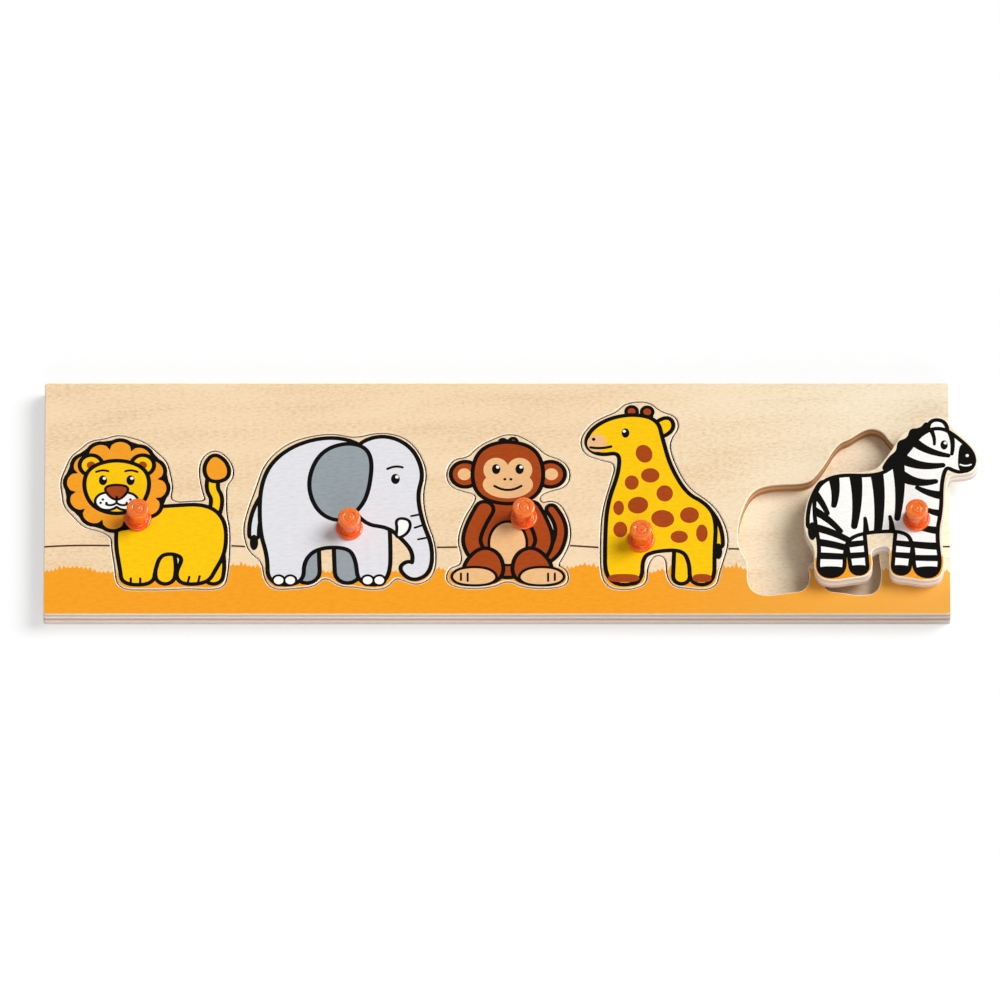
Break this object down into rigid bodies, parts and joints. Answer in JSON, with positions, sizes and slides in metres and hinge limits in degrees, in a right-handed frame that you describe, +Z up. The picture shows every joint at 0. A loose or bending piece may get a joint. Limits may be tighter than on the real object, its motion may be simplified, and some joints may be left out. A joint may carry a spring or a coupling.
{
  "type": "peg puzzle",
  "caption": "Long wooden peg puzzle: animal-shaped plywood pieces with orange pegs, seated in recesses of a layered board, one piece lifted out beside its empty recess.",
  "frame": {"origin": "middle of the board's flat underside", "axes": "+X along the board, towards the piece that is lifted out; +Y across the board, towards its far edge and the animals' heads; +Z up, out of the recesses"},
  "size_m": [0.4129, 0.1162, 0.0282],
  "materials": {
    "backing_ply": "sanded, clear varnish",
    "board_ply": "sanded, clear varnish",
    "piece_ply": "sanded, clear varnish",
    "printed_ink": "satin screen-printed ink",
    "peg_plastic": "glossy, slightly translucent"
  },
  "bodies": {
    "board": {"backing_board": "backing_ply", "frame_board": "board_ply"},
    "lion": {"lion_piece": "piece_ply", "lion_peg": "peg_plastic"},
    "elephant": {"elephant_piece": "piece_ply", "elephant_peg": "peg_plastic"},
    "monkey": {"monkey_piece": "piece_ply", "monkey_peg": "peg_plastic"},
    "giraffe": {"giraffe_piece": "piece_ply", "giraffe_peg": "peg_plastic"},
    "zebra": {"zebra_piece": "piece_ply", "zebra_peg": "peg_plastic"}
  },
  "joints": [
    {"name": "lion_lift", "type": "slide", "parent": "board", "child": "lion", "axis": [0, 0, 1], "range_m": [0, 0.03]},
    {"name": "elephant_lift", "type": "slide", "parent": "board", "child": "elephant", "axis": [0, 0, 1], "range_m": [0, 0.03]},
    {"name": "monkey_lift", "type": "slide", "parent": "board", "child": "monkey", "axis": [0, 0, 1], "range_m": [0, 0.03]},
    {"name": "giraffe_lift", "type": "slide", "parent": "board", "child": "giraffe", "axis": [0, 0, 1], "range_m": [0, 0.03]},
    {"name": "zebra_lift", "type": "slide", "parent": "board", "child": "zebra", "axis": [0, 0, 1], "range_m": [0, 0.03]}
  ]
}
